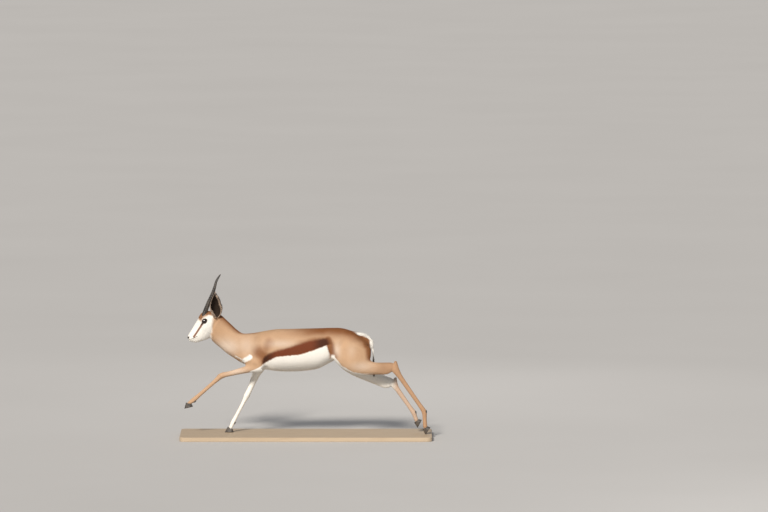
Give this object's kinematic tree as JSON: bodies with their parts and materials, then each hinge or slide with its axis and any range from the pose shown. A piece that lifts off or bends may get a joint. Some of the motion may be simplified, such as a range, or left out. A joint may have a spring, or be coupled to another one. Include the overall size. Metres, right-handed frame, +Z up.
{
  "type": "springbok model",
  "caption": "Life-size still model of a springbok in a stretched running stride, two hooves resting on a flat display base.",
  "frame": {"origin": "middle of the underside of the display base", "axes": "+X from the head to the tail, so the animal faces -X; its left side is -Y; +Z up"},
  "size_m": [1.512, 0.5, 0.983],
  "materials": {
    "coat": "short smooth hair, fawn above and white below",
    "horn": "ringed dark horn, satin",
    "eye": "wet gloss",
    "hoof": "dark grey hoof, satin",
    "base": "plain matt sand-coloured board"
  },
  "bodies": {
    "root": {"head": "coat", "neck": "coat", "torso": "coat", "tail": "coat", "foreleg_left_upper": "coat", "foreleg_left_lower": "coat", "foreleg_right_upper": "coat", "foreleg_right_lower": "coat", "hindleg_left_upper": "coat", "hindleg_left_lower": "coat", "hindleg_right_upper": "coat", "hindleg_right_lower": "coat", "ear_left": "coat", "ear_right": "coat", "horn_left": "horn", "horn_right": "horn", "eye_left": "eye", "eye_right": "eye", "hoof_fore_left_inner": "hoof", "hoof_fore_left_outer": "hoof", "hoof_fore_right_inner": "hoof", "hoof_fore_right_outer": "hoof", "hoof_hind_left_inner": "hoof", "hoof_hind_left_outer": "hoof", "hoof_hind_right_inner": "hoof", "hoof_hind_right_outer": "hoof", "stand_base": "base"}
  },
  "joints": []
}
